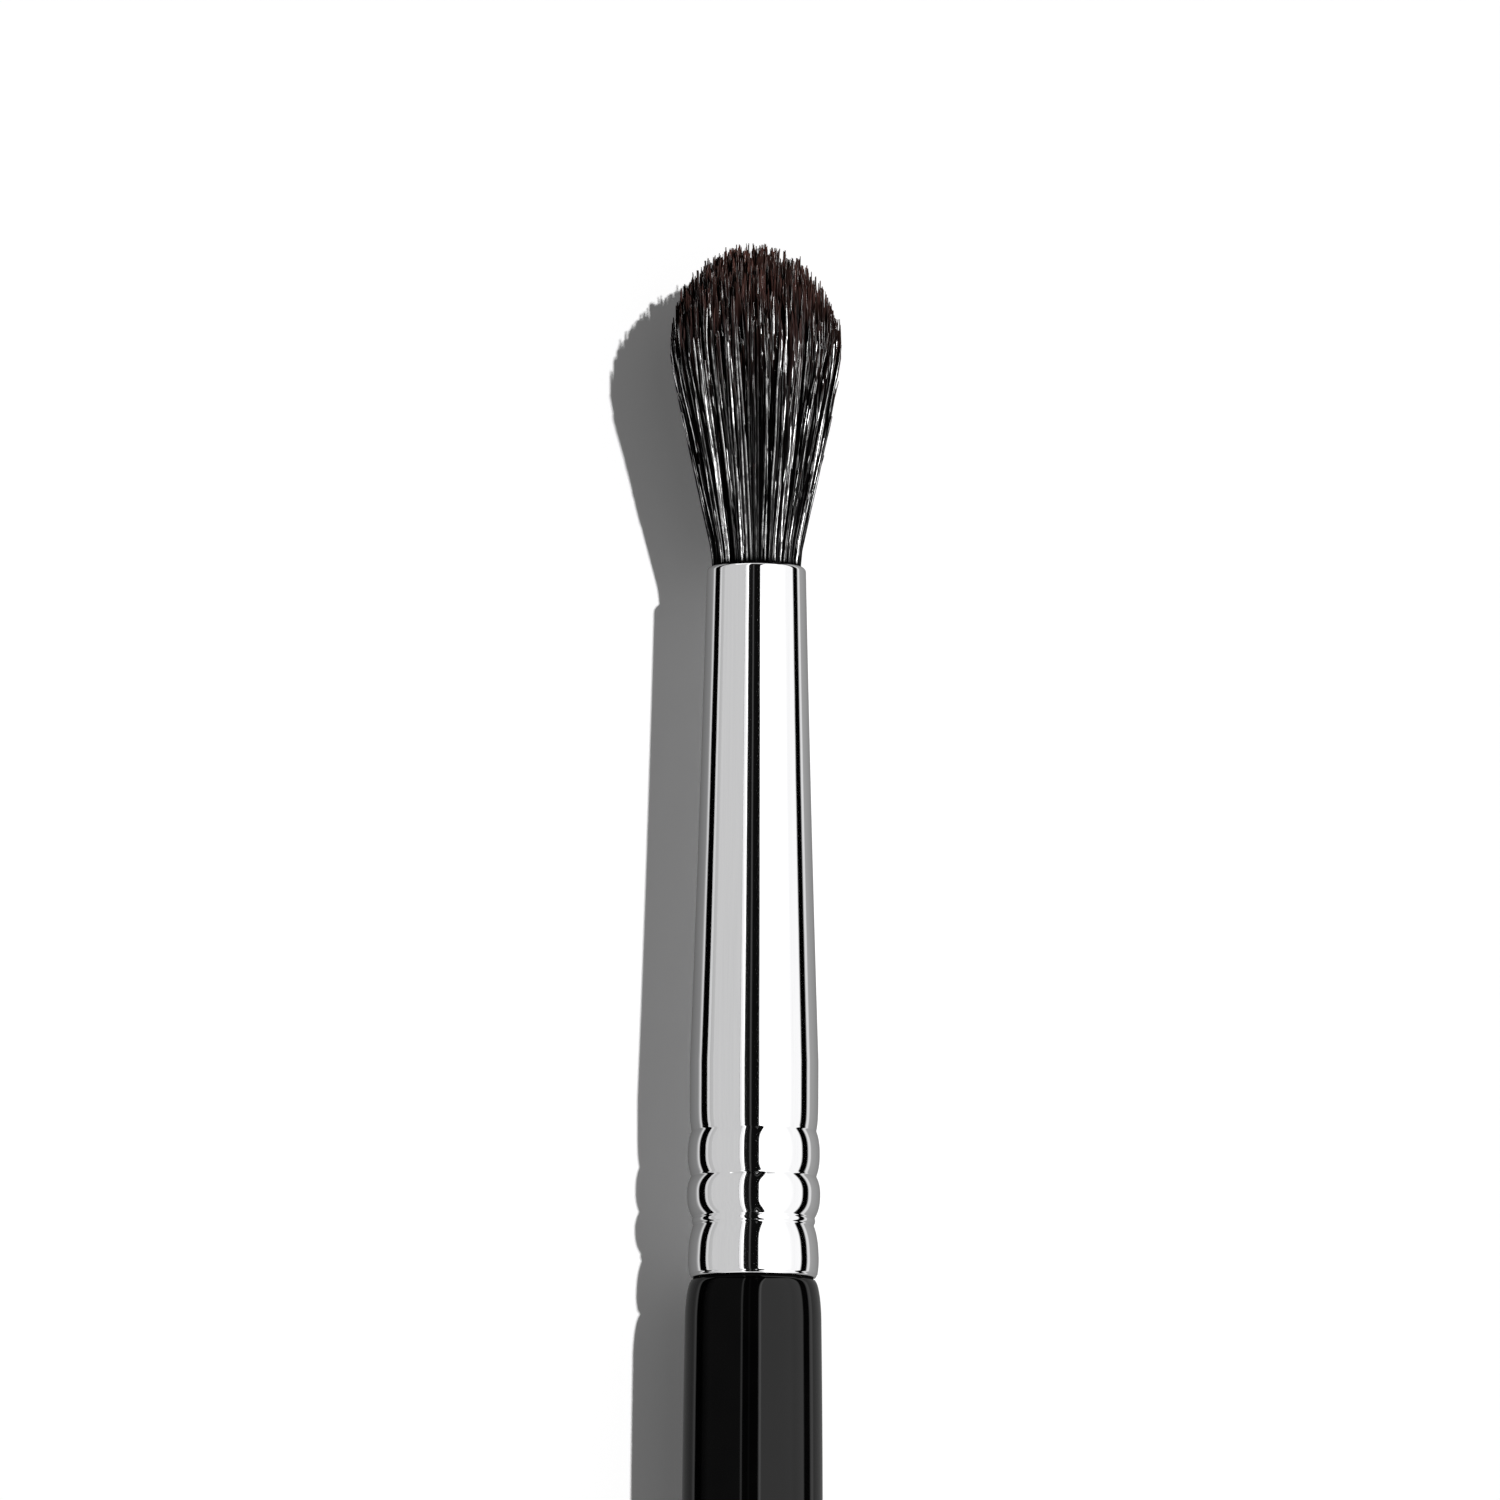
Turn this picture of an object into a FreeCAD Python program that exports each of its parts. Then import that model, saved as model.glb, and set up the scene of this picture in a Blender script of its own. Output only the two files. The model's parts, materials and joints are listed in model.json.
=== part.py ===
"""An eyeshadow blending brush, lying on its side as it does on a dressing table.

A domed head of soft bristles grows out of a plated metal ferrule. The ferrule is a thin tapered tube,
rolled into rings at its foot, where it grips the tenon of a lacquered wooden handle. Inside it, the
bristles' root is tied with thread and set in a plug of resin, and a sleeve of glue holds the tenon.

The brush is turned about its own axis, so each piece is drawn as stations and radii. A station is a
place along the axis: 0 at the ferrule's mouth, positive towards the bristle tips and negative towards
the handle's tail. The finished pieces are laid on the table, which is the plane Z = 0. Sizes are in
millimetres.
"""
import FreeCAD
import Part

import math
import os

from FreeCAD import Placement, Rotation, Vector

# Bristle head: the free hair beyond the ferrule's mouth
head_length = 18.0
head_belly_radius = 4.8
head_crown_height = 5.45
head_neck_length = 1.1
head_neck_flare = 0.1
head_flank_rise = 1.18
head_flank_start_share = 0.47
head_flank_end_share = 0.118

# Ferrule: a thin tube with a slightly hollow taper, a straight skirt and rolled rings
ferrule_wall = 0.28
ferrule_mouth_radius = 2.73
ferrule_skirt_radius = 3.53
ferrule_cone_length = 27.4
ferrule_cone_hollow = 0.04
ferrule_skirt_length = 3.8
lip_round = 0.18
foot_round = 0.1
round_limit_share = 0.7

# Rolled rings, from the skirt to the foot, as rises and falls from the skirt's radius
first_groove_fall = 0.045
upper_bead_length = 2.5
upper_bead_rise = 0.1
second_groove_fall = 0.09
lower_bead_length = 2.3
lower_bead_rise = 0.14
ridge_groove_fall = 0.03
ridge_length = 0.6
ridge_fall = 0.09
deep_groove_fall = 0.26
foot_band_length = 2.7
foot_band_rise = 0.04
foot_fall = 0.09

# Handle: turned wood with a rounded shoulder, a straight grip and a long tapered tail
handle_gap = 0.1
handle_shoulder_radius = 3.36
handle_neck_radius = 3.75
handle_shoulder_length = 2.5
handle_swell_length = 15.0
handle_grip_radius = 3.87
handle_grip_length = 20.0
handle_taper_length = 73.0
handle_tail_radius = 2.15
handle_tip_length = 2.1
tenon_length = 14.0

# What holds the pieces together inside the ferrule
fit = 0.02
glue_thickness = 0.1
root_length = 13.0
root_tail_length = 5.0
resin_wall = 0.15
resin_floor = 3.0
thread_diameter = 0.3
thread_pitch = 0.45
thread_turns = 6

# The bending of the bristle head: where it pivots, as a share of its free length
flex_pivot_share = 0.15

# Drawing aids
overrun = 1.0
joint_tolerance = 1e-6
FULL_TURN = 360.0
QUARTER_WEIGHT = math.sqrt(0.5)
AXIS = Vector(0, 1, 0)

# Stations worked out from the lengths
ring_lengths = [upper_bead_length, lower_bead_length, ridge_length, foot_band_length]
rings_station = -(ferrule_cone_length + ferrule_skirt_length)
foot_station = rings_station - sum(ring_lengths)
belly_station = head_length - head_crown_height
shoulder_station = foot_station - handle_gap
neck_station = shoulder_station - handle_shoulder_length
grip_station = neck_station - handle_swell_length
taper_station = grip_station - handle_grip_length
tip_station = taper_station - handle_taper_length
tail_station = tip_station - handle_tip_length
root_tail_station = root_tail_length - root_length
tenon_inset = ferrule_wall + glue_thickness + 2 * fit


def at(station, radius):
    """The point of an outline at this station and radius."""
    return Vector(radius, station, 0)


def line(start, end):
    return Part.LineSegment(start, end).toShape()


def arc(start, middle, end):
    return Part.Arc(start, middle, end).toShape()


def curve(*poles):
    """A Bezier curve: two poles give a line, three a parabola, four a cubic."""
    bezier = Part.BezierCurve()
    bezier.setPoles(list(poles))
    return bezier.toShape()


def quarter_round(start, corner, end):
    """A quarter of an ellipse from start to end, whose tangents meet in corner."""
    bezier = Part.BezierCurve()
    bezier.setPoles([start, corner, end])
    bezier.setWeight(2, QUARTER_WEIGHT)
    return bezier.toShape()


def turned(outline):
    """The solid that an outline sweeps in a full turn, filled to the axis."""
    start = outline[0].Vertexes[0].Point
    end = outline[-1].Vertexes[-1].Point
    start_foot = at(start.y, 0)
    end_foot = at(end.y, 0)
    closing = [(start_foot, start), (end, end_foot), (end_foot, start_foot)]
    sides = [line(a, b) for a, b in closing if a.distanceToPoint(b) > joint_tolerance]
    wire = Part.Wire(Part.__sortEdges__(outline + sides))
    return Part.Face(wire).revolve(Vector(), AXIS, FULL_TURN)


def rod(upper_station, lower_station, radius):
    """A plain cylinder on the axis between two stations."""
    return Part.makeCylinder(radius, upper_station - lower_station, at(lower_station, 0), AXIS)


def skin_radius(station):
    """The ferrule's outer radius on its taper: a straight taper less a parabola that hollows it."""
    share = -station / ferrule_cone_length
    straight = ferrule_mouth_radius + (ferrule_skirt_radius - ferrule_mouth_radius) * share
    return straight - 4 * ferrule_cone_hollow * share * (1 - share)


def bore_radius(station):
    """The radius that is free for the bristles' root inside the ferrule's taper."""
    return skin_radius(station) - ferrule_wall - fit


def ferrule_outline(inset):
    """The ferrule's outer skin from mouth to foot, drawn in towards the axis by inset."""
    skirt = ferrule_skirt_radius - inset
    mid_taper = (ferrule_mouth_radius + ferrule_skirt_radius) / 2 - inset
    mouth = at(0, ferrule_mouth_radius - inset)
    waist = at(-ferrule_cone_length / 2, mid_taper - 2 * ferrule_cone_hollow)
    cone_end = at(-ferrule_cone_length, skirt)
    groove = at(rings_station, skirt - first_groove_fall)
    outline = [curve(mouth, waist, cone_end), line(cone_end, groove)]

    crests = [upper_bead_rise, lower_bead_rise, -ridge_fall, foot_band_rise]
    falls = [second_groove_fall, ridge_groove_fall, deep_groove_fall, foot_fall]
    for length, crest, fall in zip(ring_lengths, crests, falls):
        top = at(groove.y - length / 2, skirt + crest)
        next_groove = at(groove.y - length, skirt - fall)
        outline.append(arc(groove, top, next_groove))
        groove = next_groove
    return outline


def ferrule_core(inset, upper_station=0, lower_station=foot_station):
    """What fills the ferrule's skin, drawn in by inset, between two stations."""
    core = turned(ferrule_outline(inset))
    reach = ferrule_skirt_radius + max(upper_bead_rise, lower_bead_rise, foot_band_rise) + overrun
    return core.common(rod(upper_station, lower_station, reach))


def is_ring(edge, station, radius):
    """Whether an edge of a turned solid is the ring at this station and radius."""
    if not isinstance(edge.Curve, Part.Circle):
        return False
    level = abs(edge.Curve.Center.y - station) < joint_tolerance
    return level and abs(edge.Curve.Radius - radius) < joint_tolerance


def ferrule():
    """The plated tube, with its mouth rolled over and its foot eased."""
    tube = turned(ferrule_outline(0)).cut(turned(ferrule_outline(ferrule_wall)))
    foot_radius = ferrule_skirt_radius - foot_fall
    rounds = [(0, ferrule_mouth_radius, lip_round), (foot_station, foot_radius, foot_round)]
    for station, radius, size in rounds:
        edges = [edge for edge in tube.Edges if is_ring(edge, station, radius)]
        tube = tube.makeFillet(min(size, ferrule_wall * round_limit_share), edges)
    return tube


def bristle_head():
    """The free hair: a short neck, a flaring flank, a round belly and a domed crown."""
    mouth_radius = bore_radius(0)
    neck_radius = mouth_radius + head_neck_flare
    flank_length = belly_station - head_neck_length
    start_reach = flank_length * head_flank_start_share
    mouth = at(0, mouth_radius)
    neck = at(head_neck_length, neck_radius)
    lower = at(head_neck_length + start_reach, neck_radius + head_flank_rise)
    upper = at(belly_station - flank_length * head_flank_end_share, head_belly_radius)
    belly = at(belly_station, head_belly_radius)
    crown_corner = at(head_length, head_belly_radius)
    crown = at(head_length, 0)
    return turned([
        curve(mouth, at(head_neck_length / 2, mouth_radius), neck),
        curve(neck, lower, upper, belly),
        quarter_round(belly, crown_corner, crown),
    ])


def root_tail_radius():
    """The tied end of the root leaves room for the thread and a wall of resin round it."""
    return bore_radius(root_tail_station) - resin_wall - thread_diameter - 2 * fit


def bristle_root():
    """The hair inside the ferrule: full width below the mouth, then drawn in by the thread."""
    full = ferrule_core(ferrule_wall + fit, 0, root_tail_station)
    tail = rod(root_tail_station, -root_length, root_tail_radius())
    return full.fuse(tail).removeSplitter()


def tie_stations():
    """The thread's first and last turn, in the middle of the root's tied end."""
    middle = (root_tail_station - root_length) / 2
    half = thread_turns * thread_pitch / 2
    return middle + half, middle - half


def bent_arc(start, apex, end):
    """The arc from start to end whose tangents meet in apex."""
    middle = (start + end) * 0.5
    cosine = start.distanceToPoint(middle) / start.distanceToPoint(apex)
    return arc(start, middle + (apex - middle) * (cosine / (1 + cosine)), end)


def biarc(start, start_way, end, end_way):
    """Two arcs that leave start and reach end in the given directions."""
    chord = end - start
    ways = start_way + end_way
    along = chord.dot(ways)
    spread = 4 - ways.dot(ways)
    reach = (math.sqrt(along * along + spread * chord.dot(chord)) - along) / spread
    first_apex = start + start_way * reach
    second_apex = end - end_way * reach
    meeting = (first_apex + second_apex) * 0.5
    return [bent_arc(start, first_apex, meeting), bent_arc(meeting, second_apex, end)]


def binding_thread():
    """Thread wound round the root's tied end: one helix, drawn as two arcs to each quarter turn."""
    radius = root_tail_radius() + thread_diameter / 2 + fit
    upper_station, _ = tie_stations()
    climb = thread_pitch / (2 * math.pi)
    slant = math.hypot(radius, climb)

    def place(angle):
        return Vector(radius * math.cos(angle), upper_station - climb * angle, radius * math.sin(angle))

    def way(angle):
        return Vector(-radius * math.sin(angle), -climb, radius * math.cos(angle)) * (1 / slant)

    edges = []
    for quarter in range(4 * thread_turns):
        a = quarter * math.pi / 2
        b = a + math.pi / 2
        edges += biarc(place(a), way(a), place(b), way(b))
    section = Part.Wire(Part.makeCircle(thread_diameter / 2, place(0), way(0)))
    thread = Part.Wire(edges).makePipeShell([section], True, False)
    expected = math.pi * (thread_diameter / 2) ** 2 * slant * 2 * math.pi * thread_turns
    gap = thread_pitch * radius / slant - thread_diameter
    print(f"thread volume {thread.Volume:.4f} of {expected:.4f}, gap between turns {gap:.3f}")
    return thread


def root_resin():
    """The plug that the root's end is set in: a cup round the tied end, with a floor behind it."""
    floor_station = -root_length - fit
    cup = ferrule_core(ferrule_wall + fit, root_tail_station - fit, floor_station - resin_floor)
    hollow = rod(root_tail_station + overrun, floor_station, root_tail_radius() + fit)
    first_turn, last_turn = tie_stations()
    margin = thread_diameter / 2 + fit
    pocket_radius = root_tail_radius() + thread_diameter + 2 * fit
    pocket = rod(first_turn + margin, last_turn - margin, pocket_radius)
    return cup.cut(hollow).cut(pocket)


def tenon_glue():
    """A thin sleeve of glue between the ferrule and the handle's tenon, over the rolled rings."""
    nose_station = foot_station + tenon_length
    outside = ferrule_core(ferrule_wall + fit, nose_station, foot_station)
    inside = ferrule_core(ferrule_wall + fit + glue_thickness, nose_station, foot_station)
    return outside.cut(inside)


def handle():
    """The turned handle: the tenon that the rings bite into, then shoulder, grip and tail."""
    tenon = ferrule_core(tenon_inset, foot_station + tenon_length, foot_station)
    stub_radius = ferrule_skirt_radius - foot_fall - tenon_inset
    stub = at(foot_station + foot_band_length / 2, stub_radius)
    stub_end = at(shoulder_station, stub_radius)
    shoulder = at(shoulder_station, handle_shoulder_radius)
    neck = at(neck_station, handle_neck_radius)
    grip = at(grip_station, handle_grip_radius)
    taper = at(taper_station, handle_grip_radius)
    tip = at(tip_station, handle_tail_radius)
    tail = at(tail_station, 0)
    body = turned([
        line(stub, stub_end),
        line(stub_end, shoulder),
        quarter_round(shoulder, at(shoulder_station, handle_neck_radius), neck),
        curve(neck, at((neck_station + grip_station) / 2, handle_grip_radius), grip),
        line(grip, taper),
        curve(taper, at((taper_station + tip_station) / 2, handle_grip_radius), tip),
        quarter_round(tip, at(tail_station, handle_tail_radius), tail),
    ])
    return tenon.fuse(body).removeSplitter()


def lying_slope():
    """How steeply the axis climbs to the head when the brush lies on its belly and its tail.

    The table is the line through the belly that touches the parabola of the tail's taper.
    """
    bend = (handle_grip_radius - handle_tail_radius) / handle_taper_length ** 2
    reach = belly_station - taper_station
    rise = head_belly_radius - handle_grip_radius
    return 2 * bend * (math.sqrt(reach ** 2 + rise / bend) - reach)


def laid_down():
    """The placement that lays the brush on the table, with the origin under its middle."""
    tilt = math.atan(lying_slope())
    height = head_belly_radius * math.cos(tilt) - belly_station * math.sin(tilt)
    middle = (head_length + tail_station) / 2
    turn = Rotation(Vector(1, 0, 0), math.degrees(tilt))
    return Placement(Vector(0, -middle * math.cos(tilt), height), turn)


def main():
    pieces = {
        "bristle_head": bristle_head(),
        "bristle_root": bristle_root(),
        "binding_thread": binding_thread(),
        "root_resin": root_resin(),
        "ferrule": ferrule(),
        "tenon_glue": tenon_glue(),
        "handle": handle(),
    }
    placement = laid_down()
    os.makedirs("parts", exist_ok=True)
    for name, shape in pieces.items():
        shape.Placement = placement
        shape.exportStep(f"parts/{name}.step")
        print(f"{name}: {len(shape.Solids)} solid, valid {shape.isValid()}, {shape.Volume:.3f} mm3")

    marks = {
        "flex pivot": head_length * flex_pivot_share,
        "grip middle": (grip_station + taper_station) / 2,
        "mouth": 0,
        "tail": tail_station,
        "tips": head_length,
    }
    for name, station in marks.items():
        print(f"{name}: {placement.multVec(at(station, 0))}")
    print(f"axis: {placement.Rotation.multVec(AXIS)}")
    print(f"across the axis, upwards: {placement.Rotation.multVec(Vector(0, 0, 1))}")


main()
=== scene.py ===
"""The looks of an eyeshadow blending brush: real hairs, polished plating and black lacquer.

Everything is in metres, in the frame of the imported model. The brush is round about one axis, so its
pieces are worked out as stations along that axis, 0 at the ferrule's mouth and positive towards the
bristle tips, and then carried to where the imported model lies.
"""

import json
import math

import bpy
import numpy as np
from mathutils import Matrix, Vector


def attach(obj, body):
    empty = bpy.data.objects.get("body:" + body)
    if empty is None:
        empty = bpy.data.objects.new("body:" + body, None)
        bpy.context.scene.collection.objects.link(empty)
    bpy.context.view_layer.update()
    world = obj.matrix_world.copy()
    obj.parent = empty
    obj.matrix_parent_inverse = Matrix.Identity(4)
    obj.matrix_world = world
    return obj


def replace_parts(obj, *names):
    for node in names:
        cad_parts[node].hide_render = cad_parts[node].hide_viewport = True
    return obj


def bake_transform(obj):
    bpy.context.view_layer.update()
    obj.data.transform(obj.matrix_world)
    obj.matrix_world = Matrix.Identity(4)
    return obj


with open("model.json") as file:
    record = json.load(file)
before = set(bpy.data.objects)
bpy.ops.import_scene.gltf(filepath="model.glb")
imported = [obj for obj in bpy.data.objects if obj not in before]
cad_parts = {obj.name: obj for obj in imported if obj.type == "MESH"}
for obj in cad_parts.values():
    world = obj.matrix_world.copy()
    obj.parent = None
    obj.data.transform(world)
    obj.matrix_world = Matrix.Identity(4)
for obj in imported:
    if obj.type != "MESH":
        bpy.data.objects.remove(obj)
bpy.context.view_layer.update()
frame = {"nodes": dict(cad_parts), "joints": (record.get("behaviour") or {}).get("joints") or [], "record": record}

MM = 0.001

# Ferrule: a hollow taper, a straight skirt and rolled rings, as in the model
FERRULE_WALL = 0.28 * MM
MOUTH_RADIUS = 2.73 * MM
SKIRT_RADIUS = 3.53 * MM
CONE_LENGTH = 27.4 * MM
CONE_HOLLOW = 0.04 * MM
SKIRT_LENGTH = 3.8 * MM
SKIRT_END_FALL = 0.11 * MM
SKIRT_FULLNESS = 8
LIP_ROUND = 0.22 * MM
LIP_LENGTH = 0.26 * MM
FOOT_ROUND = 0.16 * MM
RING_LENGTHS = np.array([2.5, 2.3, 0.38, 2.92]) * MM
RING_RISES = np.array([0.09, 0.12, -0.15, 0.04]) * MM
CREASE_FALLS = np.array([0.1, 0.19, 0.23, 0.06]) * MM
RING_FULLNESS = 2.5
CREASE_ROUND = 0.03 * MM
RINGS_STATION = -(CONE_LENGTH + SKIRT_LENGTH)
FOOT_STATION = RINGS_STATION - RING_LENGTHS.sum()

# Handle: tenon, rounded shoulder, swell, straight grip, tapered tail and round tip
TENON_INSET = FERRULE_WALL + 0.14 * MM
TENON_LENGTH = 14.0 * MM
SEAT_GAP = 0.03 * MM
JOINT_RADIUS = 3.3 * MM
JOINT_MARGIN = 0.001 * MM
SHOULDER_STATION = FOOT_STATION - 0.14 * MM
SHOULDER_STEEPEST = math.radians(50)
SHOULDER_RADIUS = 3.36 * MM
NECK_RADIUS = 3.75 * MM
GRIP_RADIUS = 3.87 * MM
TAIL_RADIUS = 2.15 * MM
NECK_STATION = SHOULDER_STATION - 2.5 * MM
GRIP_STATION = NECK_STATION - 15.0 * MM
TAPER_STATION = GRIP_STATION - 20.0 * MM
TIP_STATION = TAPER_STATION - 73.0 * MM
TAIL_STATION = TIP_STATION - 2.1 * MM

# Bristle head: neck, flank, belly and crown
HEAD_LENGTH = 18.0 * MM
BELLY_RADIUS = 4.8 * MM
CROWN_HEIGHT = 5.45 * MM
NECK_LENGTH = 1.1 * MM
NECK_FLARE = 0.1 * MM
FLANK_RISE = 1.18 * MM
FLANK_START_SHARE = 0.47
FLANK_END_SHARE = 0.118
BUNDLE_RADIUS = MOUTH_RADIUS - FERRULE_WALL - 0.02 * MM
BELLY_STATION = HEAD_LENGTH - CROWN_HEIGHT
FLEX_PIVOT_SHARE = 0.15

# How finely the turned pieces are drawn: sides round the axis and points along each curve
TURNED_SIDES = 160
SHARP_ANGLE = math.radians(40)
CONE_POINTS = 70
SKIRT_POINTS = 60
RING_POINTS = 48
LIP_POINTS = 16
FOOT_POINTS = 8
BORE_STEP = 4
TENON_STEP = 2
SHOULDER_POINTS = 60
SWELL_POINTS = 40
GRIP_POINTS = 12
TAPER_POINTS = 90
TIP_POINTS = 32
NECK_POINTS = 12
FLANK_POINTS = 60
EASE_STEPS = 5
EASE_REACH = 5

# Hairs: how many, how they gather, wave and cross, and how they end
HAIRS = 6000
TUFTS = 900
CHANCE_SEED = 7
HAIR_SCATTER = 0.4
TUFT_SCATTER = 0.35
HAIR_DIAMETER = 0.13 * MM
THICKNESS_RANGE = (0.65, 1.35)
TIP_THICKNESS = 0.4
TIP_RUN_OUT = 0.08
ROOT_DEPTH = 0.6 * MM
TUFT_TIP_FALL = 1.0 * MM
TUFT_FALL_LIMIT = 3
HAIR_TIP_SPREAD = 0.15 * MM
HAIR_TIP_LIMITS = (-2.5, 1.5)
SHORT_SHARE = 0.5
SHORT_EDGE = (0.8, 0.95)
SHORT_FALL = 2.4 * MM
SHORT_LIMIT = 7.0 * MM
CLIMB_LIMIT = 1.4
HEAD_LEAN = -0.12 * MM
HEAD_LEAN_LIMIT = 1.2
GATHER = 0.9
GATHER_RANGE = (0.6, 1.0)
GATHER_START = 0.35
TWIST = math.radians(2.2)
WAVE_SIZE = 0.14 * MM
WAVE_RARITY = 1.5
WAVE_AT_MOUTH = 0.55
WAVE_LENGTHS = (4.5 * MM, 9.0 * MM)
FLICK = 0.2 * MM
FLICK_START = 0.7
STRAY = 0.015
TUFT_SHADE = 2.0
HAIR_NOISE_SPREAD = 373.0
GLOSS_DASHES = 6.5
GLOSS_GRIT = 34.0
LEAST_LENGTH = 1e-9
TABLE_CLEARANCE = 0.01 * MM
# Each layer of the bundle: its name, its shares of the radius, and the sides and steps of its hairs
HAIR_LAYERS = [
    ("bristles_skin", 0.86, 1.01, 4, 14),
    ("bristles_outer", 0.70, 0.86, 4, 12),
    ("bristles_middle", 0.45, 0.70, 4, 10),
    ("bristles_core", 0.0, 0.45, 3, 8),
]

# Where the brush lies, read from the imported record
flex = frame["joints"][0]
ALONG = -np.array(frame["record"]["mounts"][0]["axis"])
ACROSS = np.array([1.0, 0.0, 0.0])
UP = np.cross(ACROSS, ALONG)
MOUTH = np.array(flex["pos_m"]) - ALONG * HEAD_LENGTH * FLEX_PIVOT_SHARE

# The photograph: its size, its scale and where the brush lies in it
PICTURE_SIDE = 1500
PIXELS_PER_MM = 18.15
PICTURE_CENTRE_STATION = -10.12 * MM
PICTURE_CENTRE_ACROSS = -0.31 * MM
CAMERA_DISTANCE = 690 * MM
CAMERA_LEAN = math.radians(7.7)
CAMERA_ROLL = math.radians(0.26)
SENSOR_SIDE = 36.0
CLIP_START = 10 * MM

# The handle's finishes, in the order in which it gets them; the last is dull black painted shade in the joint
LACQUER_SLOT, WOOD_SLOT, JOINT_SHADE_SLOT = range(3)


# Shapes

def in_place(station, across, up):
    """Carry stations and offsets from the axis to the row frame: mouth + along, across and up."""
    spread = np.multiply.outer
    return MOUTH + spread(station, ALONG) + spread(across, ACROSS) + spread(up, UP)


def mesh_piece(name, points, quads, triangles):
    """A smooth mesh from an array of points and arrays of quads and triangles, turned outwards.

    The sign of the sum of point . (point x point) over a fan of each face tells which way it faces.
    """
    centred = points - points.mean(axis=0)
    fans = np.concatenate([quads[:, [0, 1, 2]], quads[:, [0, 2, 3]], triangles])
    a, b, c = (centred[fans[:, k]] for k in range(3))
    if np.einsum("ij,ij->", a, np.cross(b, c)) < 0:
        quads, triangles = quads[:, ::-1], triangles[:, ::-1]
    corners = np.concatenate([quads.ravel(), triangles.ravel()])
    sizes = np.concatenate([np.full(len(quads), 4), np.full(len(triangles), 3)])
    mesh = bpy.data.meshes.new(name)
    mesh.vertices.add(len(points))
    mesh.vertices.foreach_set("co", points.astype(np.float32).ravel())
    mesh.loops.add(len(corners))
    mesh.loops.foreach_set("vertex_index", corners.astype(np.int32))
    mesh.polygons.add(len(sizes))
    mesh.polygons.foreach_set("loop_start", (np.cumsum(sizes) - sizes).astype(np.int32))
    mesh.polygons.foreach_set("use_smooth", np.ones(len(sizes), bool))
    mesh.update(calc_edges=True)
    mesh.validate()
    piece = bpy.data.objects.new(name, mesh)
    bpy.context.scene.collection.objects.link(piece)
    return piece


def turned_piece(name, profile, closed, segments=TURNED_SIDES):
    """A turned surface: each profile row (station, radius) is carried round the axis.

    A closed profile meets itself, as a tube's wall does. An open one starts and ends on the axis, and
    its two ends are single points with a fan of triangles round them.
    """
    rows = profile if closed else profile[1:-1]
    angles = np.arange(segments) * (2 * math.pi / segments)
    station = np.repeat(rows[:, :1], segments, axis=1)
    across = np.multiply.outer(rows[:, 1], np.cos(angles))
    up = np.multiply.outer(rows[:, 1], np.sin(angles))
    points = in_place(station, across, up).reshape(-1, 3)
    ring = np.arange(len(rows) if closed else len(rows) - 1)[:, None]
    column = np.arange(segments)
    after = (column + 1) % segments
    here, there = ring * segments, (ring + 1) % len(rows) * segments
    quads = np.stack([here + column, here + after, there + after, there + column], axis=-1)
    triangles = np.zeros((0, 3), int)
    if not closed:
        first, last = len(points), len(points) + 1
        base = (len(rows) - 1) * segments
        start_fan = np.stack([np.full(segments, first), after, column], axis=-1)
        end_fan = np.stack([np.full(segments, last), base + column, base + after], axis=-1)
        triangles = np.concatenate([start_fan, end_fan])
        points = np.concatenate([points, in_place(profile[[0, -1], 0], np.zeros(2), np.zeros(2))])
    piece = mesh_piece(name, points, quads.reshape(-1, 4), triangles)
    piece.data.set_sharp_from_angle(angle=SHARP_ANGLE)
    return piece


def bezier(poles, count):
    """Points of a Bezier curve: the poles weighted by the binomial shares of t and 1 - t."""
    poles = np.asarray(poles, float)
    t = np.linspace(0, 1, count)[:, None]
    order = len(poles) - 1
    weights = [math.comb(order, k) * t ** k * (1 - t) ** (order - k) for k in range(order + 1)]
    return sum(weight * pole for weight, pole in zip(weights, poles))


def quarter_round(start, end, count):
    """A quarter of an ellipse that leaves start along the radius and reaches end along the axis."""
    turn = np.linspace(0, math.pi / 2, count)[:, None]
    start, end = np.asarray(start), np.asarray(end)
    share = np.concatenate([1 - np.cos(turn), np.sin(turn)], axis=1)
    return start + (end - start) * share


def rolled_ring(start, crest_radius, end, count):
    """A rolled ring from crease to crease: flat in the middle and round at both ends.

    Above the line between the creases it rises by its height times 1 - |u| to the power of its fullness,
    with u from -1 at one crease to 1 at the other.
    """
    u = np.sin(np.linspace(-math.pi / 2, math.pi / 2, count))[:, None]
    line = start + (end - start) * (u + 1) / 2
    line[:, 1:] += (crest_radius - (start[1] + end[1]) / 2) * (1 - np.abs(u) ** RING_FULLNESS)
    return line


def skin_profile(inset):
    """The ferrule's outer skin from mouth to foot as (station, radius) rows, drawn in by inset.

    A parabola for the hollow taper, a skirt that falls away at its end by a high power of the way along
    it, and then the rolled rings.
    """
    middle_radius = (MOUTH_RADIUS + SKIRT_RADIUS) / 2 - 2 * CONE_HOLLOW
    taper = [(0, MOUTH_RADIUS), (-CONE_LENGTH / 2, middle_radius), (-CONE_LENGTH, SKIRT_RADIUS)]
    way = np.linspace(0, 1, SKIRT_POINTS)[1:]
    skirt = np.stack([-CONE_LENGTH - SKIRT_LENGTH * way,
                      SKIRT_RADIUS - SKIRT_END_FALL * way ** SKIRT_FULLNESS], axis=1)
    rows = [bezier(taper, CONE_POINTS), skirt]
    for length, rise, fall in zip(RING_LENGTHS, RING_RISES, CREASE_FALLS):
        crease = rows[-1][-1]
        next_crease = np.array([crease[0] - length, SKIRT_RADIUS - fall])
        rows.append(rolled_ring(crease, SKIRT_RADIUS + rise, next_crease, RING_POINTS)[1:])
    profile = np.concatenate(rows)
    profile[:, 1] -= inset
    return profile


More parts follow.
